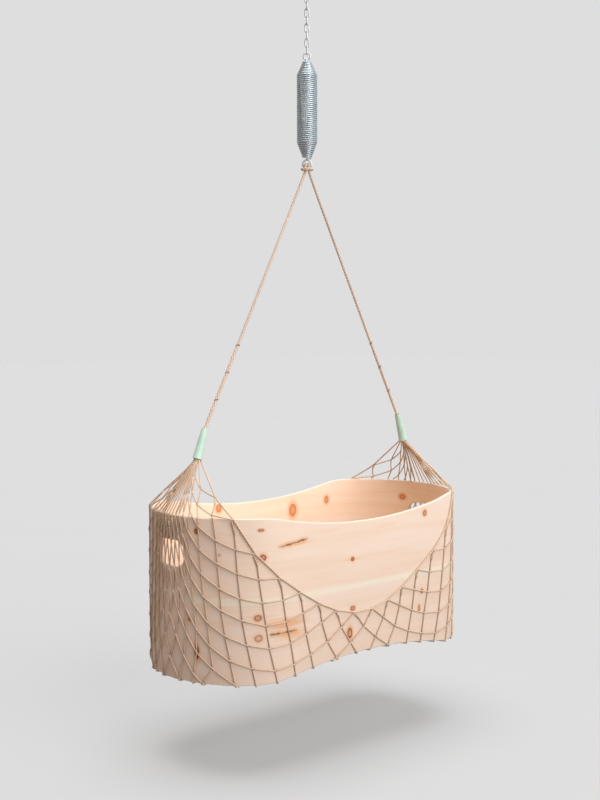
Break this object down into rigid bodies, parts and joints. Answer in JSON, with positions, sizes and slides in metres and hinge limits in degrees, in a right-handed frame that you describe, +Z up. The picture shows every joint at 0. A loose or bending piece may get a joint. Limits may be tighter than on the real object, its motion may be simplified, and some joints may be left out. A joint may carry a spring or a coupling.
{
  "type": "spring cradle",
  "caption": "Hanging infant cradle: an open bent-wood shell in a cord net, carried by one rope, a coil spring, a chain and a ceiling plate.",
  "frame": {"origin": "centre of the ceiling plate's upper face, where the plate meets the ceiling", "axes": "+Z up, X along the cradle's length with +X to the right in the picture, Y across it with -Y the near wall"},
  "size_m": [0.7558, 0.388, 1.4514],
  "materials": {
    "pine": "satin",
    "inner_wood": "matte",
    "net_cord": "matte",
    "rope": "matte",
    "sleeve": "satin",
    "zinc": "satin"
  },
  "bodies": {
    "ceiling": {"ceiling_plate": "zinc", "ceiling_eye": "zinc"},
    "link_1": {"chain_link_1": "zinc"},
    "link_2": {"chain_link_2": "zinc"},
    "link_3": {"chain_link_3": "zinc"},
    "link_4": {"chain_link_4": "zinc"},
    "link_5": {"chain_link_5": "zinc"},
    "link_6": {"chain_link_6": "zinc"},
    "link_7": {"chain_link_7": "zinc"},
    "link_8": {"chain_link_8": "zinc"},
    "hook_eye": {"top_eye": "zinc"},
    "spring": {"spring_coil": "zinc"},
    "foot_eye": {"bottom_eye": "zinc"},
    "cradle": {"wood_shell": "pine", "floor_board": "inner_wood", "near_batten": "inner_wood", "far_batten": "inner_wood", "left_cleat": "inner_wood", "right_cleat": "inner_wood", "left_sleeve": "sleeve", "right_sleeve": "sleeve", "near_net": "net_cord", "far_net": "net_cord", "left_net": "net_cord", "right_net": "net_cord", "under_net": "net_cord", "left_fan": "net_cord", "right_fan": "net_cord", "near_hem": "net_cord", "far_hem": "net_cord", "suspension_rope": "rope", "left_splice": "rope", "right_splice": "rope"}
  },
  "joints": [
    {"name": "link_1_swing", "type": "hinge", "parent": "ceiling", "child": "link_1", "pos_m": [0, 0, -0.033], "axis": [0.6561, 0.7547, 0], "range_deg": [-10, 10]},
    {"name": "link_2_swing", "type": "hinge", "parent": "link_1", "child": "link_2", "pos_m": [0, 0, -0.0482], "axis": [0.7547, -0.6561, 0], "range_deg": [-10, 10]},
    {"name": "link_3_swing", "type": "hinge", "parent": "link_2", "child": "link_3", "pos_m": [0, 0, -0.0639], "axis": [0.6561, 0.7547, 0], "range_deg": [-10, 10]},
    {"name": "link_4_swing", "type": "hinge", "parent": "link_3", "child": "link_4", "pos_m": [0, 0, -0.0796], "axis": [0.7547, -0.6561, 0], "range_deg": [-10, 10]},
    {"name": "link_5_swing", "type": "hinge", "parent": "link_4", "child": "link_5", "pos_m": [0, 0, -0.0953], "axis": [0.6561, 0.7547, 0], "range_deg": [-10, 10]},
    {"name": "link_6_swing", "type": "hinge", "parent": "link_5", "child": "link_6", "pos_m": [0, 0, -0.111], "axis": [0.7547, -0.6561, 0], "range_deg": [-10, 10]},
    {"name": "link_7_swing", "type": "hinge", "parent": "link_6", "child": "link_7", "pos_m": [0, 0, -0.1267], "axis": [0.6561, 0.7547, 0], "range_deg": [-10, 10]},
    {"name": "link_8_swing", "type": "hinge", "parent": "link_7", "child": "link_8", "pos_m": [0, 0, -0.1424], "axis": [0.7547, -0.6561, 0], "range_deg": [-10, 10]},
    {"name": "hook_eye_swing", "type": "hinge", "parent": "link_8", "child": "hook_eye", "pos_m": [0, 0, -0.1581], "axis": [0.6561, 0.7547, 0], "range_deg": [-10, 10]},
    {"name": "spring_swivel", "type": "hinge", "parent": "hook_eye", "child": "spring", "pos_m": [0, 0, -0.171], "axis": [0, 0, 1], "continuous": true},
    {"name": "spring_stretch", "type": "slide", "parent": "spring", "child": "foot_eye", "axis": [0, 0, -1], "range_m": [0, 0.12], "stiffness_N_per_m": 600, "springref_m": -0.1, "deforming": ["spring_coil"]},
    {"name": "cradle_swing", "type": "hinge", "parent": "foot_eye", "child": "cradle", "pos_m": [0, 0, -0.3971], "axis": [0.7547, -0.6561, 0], "range_deg": [-20, 20]}
  ]
}
